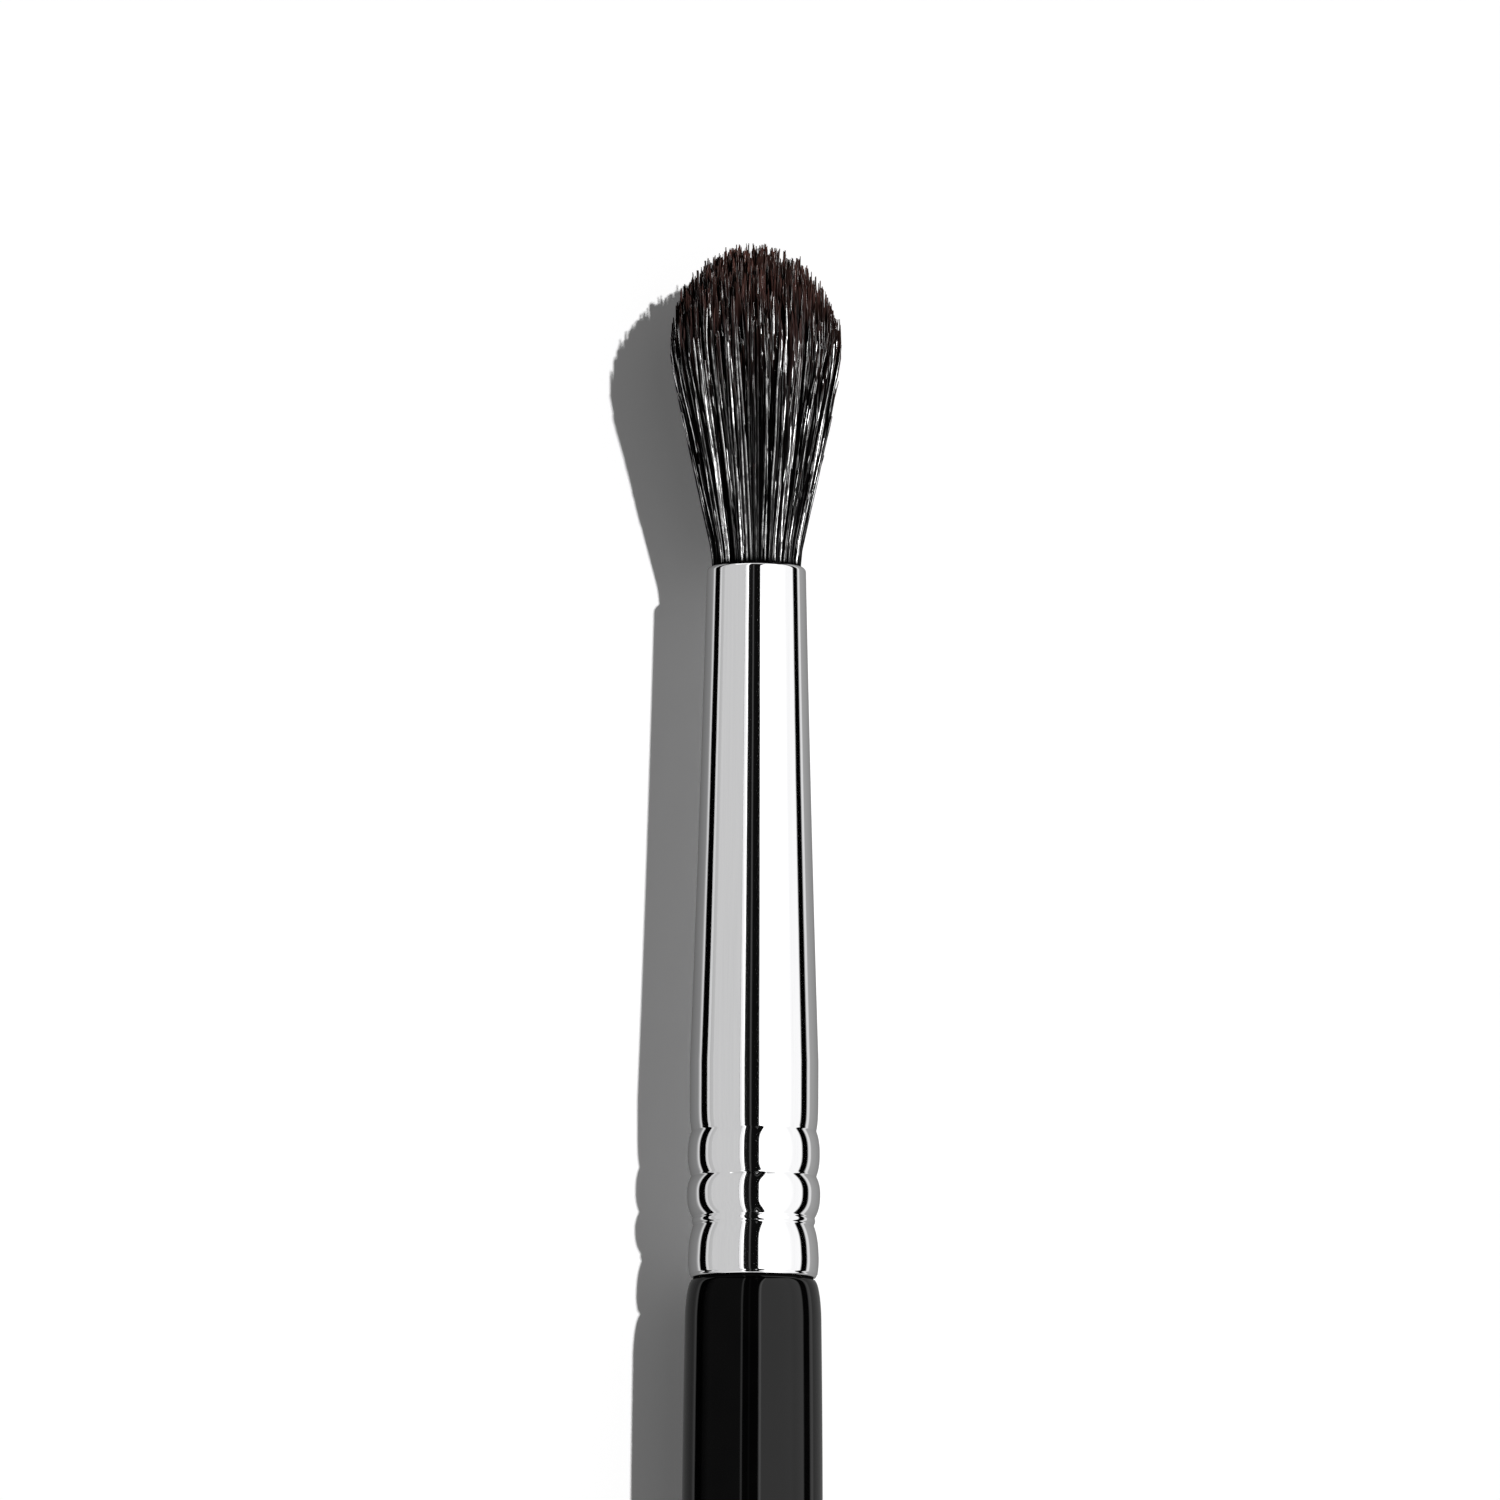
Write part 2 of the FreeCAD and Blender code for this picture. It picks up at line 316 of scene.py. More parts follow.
def eased(profile, size):
    """Round a profile's creases: radii averaged under a bell curve of this width along the station."""
    station, radius = profile[:, 0], profile[:, 1]
    fine = np.arange(station[-1], station[0], size / EASE_STEPS)
    fine_radius = np.interp(fine, station[::-1], radius[::-1])
    reach = EASE_REACH * EASE_STEPS
    bell = np.exp(-0.5 * (np.arange(-reach, reach + 1) / EASE_STEPS) ** 2)
    padded = np.pad(fine_radius, reach, mode="reflect", reflect_type="odd")
    smooth = np.convolve(padded, bell / bell.sum(), mode="valid")
    return np.stack([station, np.interp(station, fine, smooth)], axis=1)


# Pieces

def make_ferrule():
    """The tube's wall as one closed profile: outer skin, rolled lip, bore and eased foot."""
    outer = eased(skin_profile(0), CREASE_ROUND)
    inner = eased(skin_profile(FERRULE_WALL), CREASE_ROUND)[::BORE_STEP]
    foot_radius = outer[-1, 1]
    lip_radius = np.interp(LIP_LENGTH, -outer[:, 0], outer[:, 1])
    lip = quarter_round((0, lip_radius - LIP_ROUND), (-LIP_LENGTH, lip_radius), LIP_POINTS)
    foot_end = FOOT_STATION + FOOT_ROUND
    foot = quarter_round((FOOT_STATION, foot_radius - FOOT_ROUND), (foot_end, foot_radius), FOOT_POINTS)
    skin = outer[(outer[:, 0] < -LIP_LENGTH) & (outer[:, 0] > foot_end)]
    wall = np.concatenate([lip, skin, foot[::-1], inner[::-1]])
    piece = turned_piece("ferrule_tube", wall, closed=True)
    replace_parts(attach(piece, "brush_body"), "ferrule")
    return piece


def make_handle():
    """The handle's profile from the tenon's nose to the tail: the ring-bitten tenon, then the turning."""
    tenon = eased(skin_profile(TENON_INSET), CREASE_ROUND)
    tenon = tenon[tenon[:, 0] < FOOT_STATION + TENON_LENGTH][::TENON_STEP]
    seat = [(FOOT_STATION - SEAT_GAP, tenon[-1, 1]),
            (FOOT_STATION - SEAT_GAP, JOINT_RADIUS),
            (SHOULDER_STATION, JOINT_RADIUS)]
    shoulder_start, neck = (SHOULDER_STATION, SHOULDER_RADIUS), (NECK_STATION, NECK_RADIUS)
    shoulder = quarter_round(shoulder_start, neck, SHOULDER_POINTS)
    steepness = np.arctan2(np.diff(shoulder[:, 1]), -np.diff(shoulder[:, 0]))
    shoulder = shoulder[1:][steepness < SHOULDER_STEEPEST]
    shoulder[0, 0] = SHOULDER_STATION
    swell_middle = ((NECK_STATION + GRIP_STATION) / 2, GRIP_RADIUS)
    swell = bezier([neck, swell_middle, (GRIP_STATION, GRIP_RADIUS)], SWELL_POINTS)
    grip = np.linspace((GRIP_STATION, GRIP_RADIUS), (TAPER_STATION, GRIP_RADIUS), GRIP_POINTS)
    taper_middle = ((TAPER_STATION + TIP_STATION) / 2, GRIP_RADIUS)
    taper = bezier([grip[-1], taper_middle, (TIP_STATION, TAIL_RADIUS)], TAPER_POINTS)
    tip = quarter_round((TAIL_STATION, 0), (TIP_STATION, TAIL_RADIUS), TIP_POINTS)[::-1]
    profile = np.concatenate([
        [(tenon[0, 0], 0)], tenon, seat, shoulder, swell[1:], grip[1:], taper[1:], tip[1:],
    ])
    piece = turned_piece("handle_turning", profile, closed=False)
    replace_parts(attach(piece, "brush_body"), "handle")
    return piece


def bundle_radius(station):
    """How far the outermost hairs stand from the axis: the neck's and the flank's curves, then level."""
    neck_radius = BUNDLE_RADIUS + NECK_FLARE
    flank_length = BELLY_STATION - NECK_LENGTH
    neck = [(0, BUNDLE_RADIUS), (NECK_LENGTH / 2, BUNDLE_RADIUS), (NECK_LENGTH, neck_radius)]
    flank = [
        (NECK_LENGTH, neck_radius),
        (NECK_LENGTH + flank_length * FLANK_START_SHARE, neck_radius + FLANK_RISE),
        (BELLY_STATION - flank_length * FLANK_END_SHARE, BELLY_RADIUS),
        (BELLY_STATION, BELLY_RADIUS),
    ]
    rows = np.concatenate([bezier(neck, NECK_POINTS), bezier(flank, FLANK_POINTS)[1:]])
    return np.interp(station, rows[:, 0], rows[:, 1])


def sunflower(count, scatter, rng):
    """Points spread over a unit disc, each a little off its place by chance.

    The root of a point's share of the count is its radius, and each turns on by the golden angle.
    """
    number = np.arange(count)
    radius = np.sqrt((number + 0.5) / count)
    turn = number * math.pi * (3 - math.sqrt(5))
    points = np.stack([radius * np.cos(turn), radius * np.sin(turn)], axis=1)
    points += rng.normal(0, scatter / math.sqrt(count), points.shape)
    return points / np.maximum(1, np.linalg.norm(points, axis=1, keepdims=True))


def hair_seeds():
    """Where each hair stands in the bundle, as shares of its radius, and its own chances.

    Hairs and tufts are two sunflowers, and each hair belongs to the nearest tuft. Some hairs of the
    outermost layer are short: they end on the flank, and their tips stand away from it a little.
    """
    rng = np.random.default_rng(CHANCE_SEED)
    seeds = sunflower(HAIRS, HAIR_SCATTER, rng)
    tufts = sunflower(TUFTS, TUFT_SCATTER, rng)
    nearest = np.linalg.norm(seeds[:, None] - tufts[None], axis=2).argmin(axis=1)
    tuft_tip = -TUFT_TIP_FALL * np.minimum(rng.exponential(1, TUFTS), TUFT_FALL_LIMIT)
    hair_tip = np.clip(rng.normal(0, 1, HAIRS), *HAIR_TIP_LIMITS) * HAIR_TIP_SPREAD
    edge = np.interp(np.linalg.norm(seeds, axis=1), SHORT_EDGE, (0, 1))
    short = np.minimum(rng.exponential(SHORT_FALL, HAIRS), SHORT_LIMIT)
    short *= rng.uniform(0, 1, HAIRS) < SHORT_SHARE * edge
    shade = rng.uniform(0, 1, HAIRS) + TUFT_SHADE * rng.uniform(0, 1, TUFTS)[nearest]
    return {
        "seed": seeds,
        "tuft": tufts[nearest],
        "gather": GATHER * rng.uniform(*GATHER_RANGE, TUFTS)[nearest],
        "tip": tuft_tip[nearest] + hair_tip,
        "short": short,
        "flick": (short > 0) * rng.uniform(0, FLICK, HAIRS),
        "twist": rng.normal(0, TWIST, TUFTS)[nearest] + rng.normal(0, TWIST / 2, HAIRS),
        "wave": WAVE_SIZE * rng.uniform(0, 1, HAIRS) ** WAVE_RARITY,
        "wave_length": rng.uniform(*WAVE_LENGTHS, (HAIRS, 2)),
        "phase": rng.uniform(0, 2 * math.pi, (HAIRS, 2)),
        "stray": np.abs(rng.normal(0, STRAY, HAIRS)),
        "shade": shade.argsort().argsort() / HAIRS,
        "tone": rng.uniform(0, 1, HAIRS),
        "thick": rng.uniform(*THICKNESS_RANGE, HAIRS),
        "spin": rng.uniform(0, 2 * math.pi, HAIRS),
    }


def hair_paths(mine, steps):
    """The stations, middle line and radius of some hairs, in even steps from root to tip.

    A hair's place is its share of the bundle's radius. On the way up it slides towards its tuft's middle,
    turns a little round the axis, and swings on a sine wave both ways. It ends on the crown: belly +
    crown height times the root of 1 - share squared, less its tuft's fall and what a short hair lacks.
    Its radius runs out to a fine tip.
    """
    share = np.linalg.norm(mine["seed"], axis=1)
    crown = BELLY_STATION + CROWN_HEIGHT * np.sqrt(np.clip(1 - share ** 2, 0, 1))
    tip_station = crown + mine["tip"] - mine["short"]
    t = np.linspace(0, 1, steps + 1)
    station = -ROOT_DEPTH + (tip_station + ROOT_DEPTH)[:, None] * t
    climb = np.clip(station / BELLY_STATION, 0, CLIMB_LIMIT)
    bundle = bundle_radius(station)

    late = np.clip((t - GATHER_START) / (1 - GATHER_START), 0, 1)
    pull = mine["gather"][:, None] * late ** 2 * (3 - 2 * late)
    place = mine["seed"][:, None] + (mine["tuft"] - mine["seed"])[:, None] * pull[..., None]
    place = place * (bundle - mine["wave"][:, None])[..., None]
    crossing = (mine["twist"][:, None] * climb)[..., None]
    place = place + crossing * np.stack([-place[..., 1], place[..., 0]], axis=-1)
    turns = station[..., None] / mine["wave_length"][:, None] * (2 * math.pi) + mine["phase"][:, None]
    swing = mine["wave"][:, None] * (WAVE_AT_MOUTH + (1 - WAVE_AT_MOUTH) * climb)
    place = place + np.sin(turns) * swing[..., None]

    length = np.linalg.norm(place, axis=-1)
    limit = bundle * (1 + mine["stray"][:, None] * climb)
    held = np.minimum(1, limit / np.maximum(length, LEAST_LENGTH))
    flick = mine["flick"][:, None] * np.interp(t, (FLICK_START, 1), (0, 1)) ** 2
    place *= (held + flick / np.maximum(length, MM))[..., None]
    place[..., 0] += HEAD_LEAN * np.clip(climb, 0, HEAD_LEAN_LIMIT) ** 2

    run_out = np.clip((1 - t) / TIP_RUN_OUT, 0, 1)
    radius = HAIR_DIAMETER / 2 * mine["thick"][:, None] * (TIP_THICKNESS + (1 - TIP_THICKNESS) * run_out)
    centre = MOUTH + station[..., None] * ALONG + place[..., :1] * ACROSS + place[..., 1:] * UP
    centre[..., 2] = np.maximum(centre[..., 2], radius + TABLE_CLEARANCE)
    return station, centre, radius


def make_bristles(name, inner, outer, sides, steps, hairs):
    """One layer of the bundle: round each point of each hair's middle line stands a ring of corners.

    The first and last rings stand there twice, once for the sides and once for the end faces.
    """
    share = np.linalg.norm(hairs["seed"], axis=1)
    chosen = (share >= inner) & (share < outer)
    mine = {key: values[chosen] for key, values in hairs.items()}
    station, centre, radius = hair_paths(mine, steps)
    way = np.gradient(centre, axis=1)
    way /= np.linalg.norm(way, axis=-1, keepdims=True)
    first = UP - way * (way @ UP)[..., None]
    first /= np.linalg.norm(first, axis=-1, keepdims=True)
    second = np.cross(way, first)
    turn = mine["spin"][:, None, None] + np.arange(sides) * (2 * math.pi / sides)
    rim = first[:, :, None] * np.cos(turn)[..., None] + second[:, :, None] * np.sin(turn)[..., None]
    rings = np.append(np.arange(steps + 1), [0, steps])
    points = (centre[:, :, None] + radius[:, :, None, None] * rim)[:, rings]

    hair = np.arange(len(station))[:, None, None] * (len(rings) * sides)
    here = hair + np.arange(steps)[:, None] * sides
    side = np.arange(sides)
    after = (side + 1) % sides
    quads = np.stack([here + side, here + after, here + sides + after, here + sides + side], axis=-1)
    end = hair + np.array([steps + 1, steps + 2])[:, None] * sides
    fan = np.arange(1, sides - 1)
    caps = np.stack(np.broadcast_arrays(end, end + fan + 1, end + fan), axis=-1)
    caps[:, 1] = caps[:, 1, :, ::-1]
    piece = mesh_piece(name, points.reshape(-1, 3), quads.reshape(-1, 4), caps.reshape(-1, 3))

    to_tip = np.linspace(0, 1, steps + 1)[None, rings]
    facts = {
        "hair_along": station[:, rings] / HEAD_LENGTH,
        "hair_tip": to_tip,
        "hair_tone": mine["tone"][:, None],
        "hair_shade": mine["shade"][:, None],
    }
    for attribute, values in facts.items():
        layer = piece.data.attributes.new(attribute, "FLOAT", "POINT")
        spread = np.broadcast_to(values[..., None], points.shape[:3])
        layer.data.foreach_set("value", spread.astype(np.float32).ravel())
    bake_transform(piece)
    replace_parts(piece, "bristle_head")
    return piece


# Nodes

def add_node(tree, kind, inputs=None, **settings):
    """A node of this kind with its settings, and its inputs set to values or linked to sockets."""
    node = tree.nodes.new(kind)
    for key, value in settings.items():
        setattr(node, key, value)
    for key, value in (inputs or {}).items():
        if isinstance(value, bpy.types.NodeSocket):
            tree.links.new(value, node.inputs[key])
        else:
            node.inputs[key].default_value = value
    return node


def reckoned(tree, operation, *values):
    """The result of one arithmetic step on values or sockets."""
    inputs = dict(enumerate(values))
    return add_node(tree, "ShaderNodeMath", inputs, operation=operation).outputs[0]


def stretched(tree, value, low, high, to_low=0.0, to_high=1.0, smooth=False):
    """A value's range from low to high carried to another range, and held at its ends."""
    inputs = {"Value": value, "From Min": low, "From Max": high, "To Min": to_low, "To Max": to_high}
    kind = "SMOOTHSTEP" if smooth else "LINEAR"
    return add_node(tree, "ShaderNodeMapRange", inputs, interpolation_type=kind).outputs["Result"]


def ramp(tree, factor, stops):
    """A colour ramp through (place, colour) stops, where a single number is a grey."""
    node = add_node(tree, "ShaderNodeValToRGB", {"Fac": factor})
    elements = node.color_ramp.elements
    while len(elements) < len(stops):
        elements.new(0.5)
    for element, (place, colour) in zip(elements, stops):
        element.position = place
        element.color = (*np.broadcast_to(colour, 3), 1.0)
    return node.outputs["Color"]


def mixed(tree, factor, first, second, blend="MIX"):
    """Two colours mixed by a factor."""
    node = add_node(tree, "ShaderNodeMix", {"Factor": factor}, data_type="RGBA", blend_type=blend)
    for key, colour in (("A", first), ("B", second)):
        if isinstance(colour, bpy.types.NodeSocket):
            tree.links.new(colour, node.inputs[key])
        else:
            node.inputs[key].default_value = (*colour, 1.0)
    return node.outputs["Result"]


def new_group(name, inputs, output):
    """A node group with these inputs and one value output, and its inner ends."""
    group = bpy.data.node_groups.new(name, "ShaderNodeTree")
    for key, kind in inputs.items():
        group.interface.new_socket(name=key, in_out="INPUT", socket_type=kind)
    group.interface.new_socket(name=output, in_out="OUTPUT", socket_type="NodeSocketFloat")
    return group, group.nodes.new("NodeGroupInput").outputs, group.nodes.new("NodeGroupOutput").inputs


def brushed_group():
    """Fine lines: noise that is drawn out by Stretch, where 0 along an axis draws a line the whole way."""
    kinds = {"Vector": "NodeSocketVector", "Stretch": "NodeSocketVector", "Contrast": "NodeSocketFloat"}
    group, inputs, outputs = new_group("brushed_lines", kinds, "Lines")
    drawn = add_node(group, "ShaderNodeVectorMath", {0: inputs["Vector"], 1: inputs["Stretch"]},
                     operation="MULTIPLY").outputs[0]
    settings = {"Vector": drawn, "Scale": 1.0, "Detail": 4.0}
    noise = add_node(group, "ShaderNodeTexNoise", settings).outputs["Fac"]
    centred = reckoned(group, "MULTIPLY_ADD", noise, inputs["Contrast"], 0.5)
    half = reckoned(group, "MULTIPLY", inputs["Contrast"], 0.5)
    group.links.new(reckoned(group, "SUBTRACT", centred, half), outputs["Lines"])
    return group


def specks_group():
    """Scattered specks: of cells that measure 1 / Scale, a share holds one round speck of this size."""
    kinds = {"Vector": "NodeSocketVector", "Scale": "NodeSocketFloat", "Share": "NodeSocketFloat",
             "Size": "NodeSocketFloat"}
    group, inputs, outputs = new_group("fine_specks", kinds, "Specks")
    cells = add_node(group, "ShaderNodeTexVoronoi", {"Vector": inputs["Vector"], "Scale": inputs["Scale"]})
    chance = add_node(group, "ShaderNodeSeparateColor", {"Color": cells.outputs["Color"]}).outputs["Red"]
    chosen = reckoned(group, "LESS_THAN", chance, inputs["Share"])
    inside = reckoned(group, "LESS_THAN", cells.outputs["Distance"], inputs["Size"])
    group.links.new(reckoned(group, "MULTIPLY", chosen, inside), outputs["Specks"])
    return group


def mottle_group():
    """Soft clouds: noise of this scale, from 0 to 1 with its middle range spread out."""
    kinds = {"Vector": "NodeSocketVector", "Scale": "NodeSocketFloat", "Detail": "NodeSocketFloat"}
    group, inputs, outputs = new_group("soft_mottle", kinds, "Clouds")
    settings = {"Vector": inputs["Vector"], "Scale": inputs["Scale"], "Detail": inputs["Detail"]}
    noise = add_node(group, "ShaderNodeTexNoise", settings).outputs["Fac"]
    group.links.new(stretched(group, noise, 0.3, 0.7), outputs["Clouds"])
    return group


def placed(tree, group, **inputs):
    """A node group placed in a material with its own values: its one output."""
    return add_node(tree, "ShaderNodeGroup", inputs, node_tree=group).outputs[0]


# Materials

def new_material(name):
    """A material with a Principled shader: the material, its nodes and the shader's inputs."""
    material = bpy.data.materials.new(name)
    material.use_nodes = True
    tree = material.node_tree
    return material, tree, tree.nodes["Principled BSDF"].inputs


def object_spot(tree):
    """Where a point lies on its piece, in metres."""
    return add_node(tree, "ShaderNodeTexCoord").outputs["Object"]


def set_bump(tree, shader, height, distance):
    """Raise the surface by height times distance, in metres."""
    bump = add_node(tree, "ShaderNodeBump", {"Height": height, "Distance": distance})
    tree.links.new(bump.outputs["Normal"], shader["Normal"])


def plating(brushed, specks, mottle):
    """Polished plating: bright metal with faint lengthwise polishing lines, slow waves and a few specks."""
    material, tree, shader = new_material("ferrule_plating")
    spot = object_spot(tree)
    shader["Metallic"].default_value = 1.0
    lines = placed(tree, brushed, Vector=spot, Stretch=(9000, 60, 9000), Contrast=1.6)
    pits = placed(tree, specks, Vector=spot, Scale=900, Share=0.03, Size=0.06)
    colour = mixed(tree, lines, (0.85, 0.85, 0.86), (0.9, 0.9, 0.905))
    tree.links.new(mixed(tree, pits, colour, (0.5, 0.5, 0.5)), shader["Base Color"])
    rough = stretched(tree, lines, 0, 1, 0.04, 0.075)
    tree.links.new(reckoned(tree, "MULTIPLY_ADD", pits, 0.15, rough), shader["Roughness"])
    waves = placed(tree, mottle, Vector=spot, Scale=260, Detail=1.0)
    set_bump(tree, shader, waves, 0.004 * MM)
    return material


def lacquer(specks, mottle):
    """Black gloss lacquer: near black, with a sprayed coat's shallow ripple and specks of dust in it."""
    material, tree, shader = new_material("handle_lacquer")
    spot = object_spot(tree)
    dust = placed(tree, specks, Vector=spot, Scale=700, Share=0.02, Size=0.05)
    clouds = placed(tree, mottle, Vector=spot, Scale=400, Detail=3.0)
    depth = mixed(tree, clouds, (0.0008, 0.0008, 0.0009), (0.0016, 0.0015, 0.0015))
    tree.links.new(mixed(tree, dust, depth, (0.02, 0.02, 0.02)), shader["Base Color"])
    rough = stretched(tree, clouds, 0, 1, 0.035, 0.07)
    tree.links.new(reckoned(tree, "MULTIPLY_ADD", dust, 0.2, rough), shader["Roughness"])
    ripple = placed(tree, mottle, Vector=spot, Scale=700, Detail=1.0)
    set_bump(tree, shader, reckoned(tree, "MULTIPLY_ADD", dust, 1.5, ripple), 0.0008 * MM)
    shader["Specular IOR Level"].default_value = 0.32
    return material


def bare_wood(brushed, mottle):
    """The unlacquered tenon: pale straight-grained wood with darker lengthwise pores."""
    material, tree, shader = new_material("tenon_wood")
    spot = object_spot(tree)
    grain = placed(tree, brushed, Vector=spot, Stretch=(2500, 90, 2500), Contrast=2.2)
    clouds = placed(tree, mottle, Vector=spot, Scale=180, Detail=2.0)
    colour = mixed(tree, grain, (0.36, 0.21, 0.11), (0.60, 0.41, 0.24))
    tree.links.new(mixed(tree, clouds, colour, (0.52, 0.34, 0.19)), shader["Base Color"])
    tree.links.new(stretched(tree, grain, 0, 1, 0.75, 0.5), shader["Roughness"])
    set_bump(tree, shader, grain, 0.03 * MM)
    return material


def joint_shade_finish(mottle):
    """Painted shade: dull black with little gloss, in the joint between ferrule and handle, for the gap's shadow.
    """
    material, tree, shader = new_material("joint_painted_shade")
    spot = object_spot(tree)
    clouds = placed(tree, mottle, Vector=spot, Scale=900, Detail=2.0)
    colour = mixed(tree, clouds, (0.001, 0.001, 0.001), (0.003, 0.003, 0.003))
    tree.links.new(colour, shader["Base Color"])
    tree.links.new(stretched(tree, clouds, 0, 1, 0.8, 1.0), shader["Roughness"])
    shader["Specular IOR Level"].default_value = 0.05
    return material


def along_noise(tree, tone, along, count):
    """Noise along each hair, about this many swings to its length, that starts elsewhere on every hair."""
    start = reckoned(tree, "MULTIPLY", tone, HAIR_NOISE_SPREAD)
    step = reckoned(tree, "MULTIPLY", along, count)
    place = add_node(tree, "ShaderNodeCombineXYZ", {"X": start, "Y": step}).outputs[0]
    settings = {"Vector": place, "Scale": 1.0, "Detail": 2.0}
    return add_node(tree, "ShaderNodeTexNoise", settings, noise_dimensions="2D").outputs["Fac"]


def hair():
    """Dark hair: near black at the root, reddish brown towards the tips, each hair a shade of its own.

    Some hairs are glossy and the others dull. Along each hair the gloss comes and goes in long dashes and
    in fine grit, and it fades towards the crown.
    """
    material, tree, shader = new_material("brush_hair")
    along, tip, tone, chance = (add_node(tree, "ShaderNodeAttribute", attribute_name=name).outputs["Fac"]
                                for name in ("hair_along", "hair_tip", "hair_tone", "hair_shade"))
    depth = ramp(tree, along, [
        (0.0, (0.003, 0.003, 0.0033)),
        (0.48, (0.0045, 0.004, 0.004)),
        (0.72, (0.013, 0.0065, 0.006)),
        (0.88, (0.025, 0.0105, 0.0085)),
        (1.0, (0.034, 0.014, 0.011)),
    ])
    shade = ramp(tree, chance, [(0.0, 0.1), (0.5, 0.7), (0.8, 1.5), (0.95, 2.6), (1.0, 3.6)])
    own = mixed(tree, 1.0, depth, shade, blend="MULTIPLY")
    # Painted light: each hair's last few percent turns a paler brown, as if light shone through the thin tip.
    tip_glow = stretched(tree, tip, 0.93, 1.0, 0.0, 0.1)
    tree.links.new(mixed(tree, tip_glow, own, (0.20, 0.11, 0.09)), shader["Base Color"])
    coarse = along_noise(tree, tone, along, GLOSS_DASHES)
    fine = along_noise(tree, tone, along, GLOSS_GRIT)
    dashes = stretched(tree, coarse, 0.38, 0.58, 0.15, 1.0, smooth=True)
    grit = stretched(tree, fine, 0.36, 0.58, 0.5, 1.25, smooth=True)
    glossy = ramp(tree, tone, [(0.3, 0.0), (0.55, 0.05), (0.8, 0.28), (0.93, 0.85), (1.0, 1.0)])
    fade = ramp(tree, along, [
        (0.006, 0.0), (0.025, 1.0), (0.5, 1.0), (0.67, 0.72), (0.76, 0.38), (0.83, 0.22), (1.0, 0.14),
    ])
    broken = reckoned(tree, "MULTIPLY", dashes, grit)
    gloss = reckoned(tree, "MULTIPLY", reckoned(tree, "MULTIPLY", broken, glossy), fade)
    tree.links.new(gloss, shader["Coat Weight"])
    shader["Coat Roughness"].default_value = 0.17
    shader["Coat IOR"].default_value = 2.5
    shader["Roughness"].default_value = 0.45
    shader["Specular IOR Level"].default_value = 0.0
    return material


def packed_hair(brushed, mottle):
    """The hair's root inside the ferrule: black, with the lengthwise lines of tight-packed hairs."""
    material, tree, shader = new_material("packed_hair")
    spot = object_spot(tree)
    lines = placed(tree, brushed, Vector=spot, Stretch=(11000, 120, 11000), Contrast=2.4)
    clouds = placed(tree, mottle, Vector=spot, Scale=500, Detail=2.0)
    colour = mixed(tree, lines, (0.003, 0.003, 0.003), (0.02, 0.016, 0.015))
    tree.links.new(mixed(tree, clouds, colour, (0.008, 0.006, 0.006)), shader["Base Color"])
    tree.links.new(stretched(tree, lines, 0, 1, 0.6, 0.35), shader["Roughness"])
    set_bump(tree, shader, lines, 0.06 * MM)
    return material


def thread(brushed, mottle):
    """Waxed cotton thread: cream, with slanting plies and wax in patches."""
    material, tree, shader = new_material("waxed_thread")
    spot = object_spot(tree)
    plies = add_node(tree, "ShaderNodeTexWave", {"Vector": spot, "Scale": 1600.0, "Distortion": 1.5},
                     bands_direction="DIAGONAL").outputs["Fac"]
    fibres = placed(tree, brushed, Vector=spot, Stretch=(9000, 9000, 1500), Contrast=1.8)
    wax = placed(tree, mottle, Vector=spot, Scale=900, Detail=2.0)
    colour = mixed(tree, plies, (0.50, 0.45, 0.35), (0.76, 0.71, 0.60))
    tree.links.new(mixed(tree, reckoned(tree, "MULTIPLY", fibres, 0.3), colour, (0.62, 0.55, 0.42)),
                   shader["Base Color"])
    tree.links.new(stretched(tree, wax, 0, 1, 0.8, 0.45), shader["Roughness"])
    set_bump(tree, shader, plies, 0.05 * MM)
    return material


def resin(specks, mottle):
    """Set resin: glossy amber, deeper in places, with small bubbles."""
    material, tree, shader = new_material("amber_resin")
    spot = object_spot(tree)
    clouds = placed(tree, mottle, Vector=spot, Scale=450, Detail=2.0)
    bubbles = placed(tree, specks, Vector=spot, Scale=1800, Share=0.25, Size=0.25)
    colour = mixed(tree, clouds, (0.42, 0.25, 0.06), (0.66, 0.47, 0.18))
    tree.links.new(mixed(tree, bubbles, colour, (0.80, 0.68, 0.42)), shader["Base Color"])
    tree.links.new(stretched(tree, clouds, 0, 1, 0.08, 0.22), shader["Roughness"])
    set_bump(tree, shader, bubbles, 0.02 * MM)
    return material


def glue(brushed, mottle):
    """Dried glue: cream and dull, dragged into rings where the tenon was turned in."""
    material, tree, shader = new_material("dried_glue")
    spot = object_spot(tree)
    smears = placed(tree, brushed, Vector=spot, Stretch=(300, 3500, 300), Contrast=1.8)
    clouds = placed(tree, mottle, Vector=spot, Scale=600, Detail=3.0)
    colour = mixed(tree, clouds, (0.66, 0.58, 0.42), (0.84, 0.79, 0.66))
    tree.links.new(mixed(tree, reckoned(tree, "MULTIPLY", smears, 0.4), colour, (0.60, 0.50, 0.34)),
                   shader["Base Color"])
    tree.links.new(stretched(tree, clouds, 0, 1, 0.45, 0.75), shader["Roughness"])
    set_bump(tree, shader, smears, 0.03 * MM)
    return material


def dress(piece, *materials):
    """Give a new piece these materials."""
    for material in materials:
        piece.data.materials.append(material)


def part_handle(handle):
    """The handle's finishes by station: bare wood above the foot, painted shade in the joint, then lacquer."""
    centres = np.zeros(len(handle.data.polygons) * 3)
    handle.data.polygons.foreach_get("center", centres)
    station = (centres.reshape(-1, 3) - MOUTH) @ ALONG
    index = np.where(station > SHOULDER_STATION - JOINT_MARGIN, JOINT_SHADE_SLOT, LACQUER_SLOT)
    index[station > FOOT_STATION] = WOOD_SLOT
    handle.data.polygons.foreach_set("material_index", index.astype(np.int32))


def dress_packed(node, material):
    """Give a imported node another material."""
    for slot in frame["nodes"][node].material_slots:
        slot.material = material


# Stage, light and camera

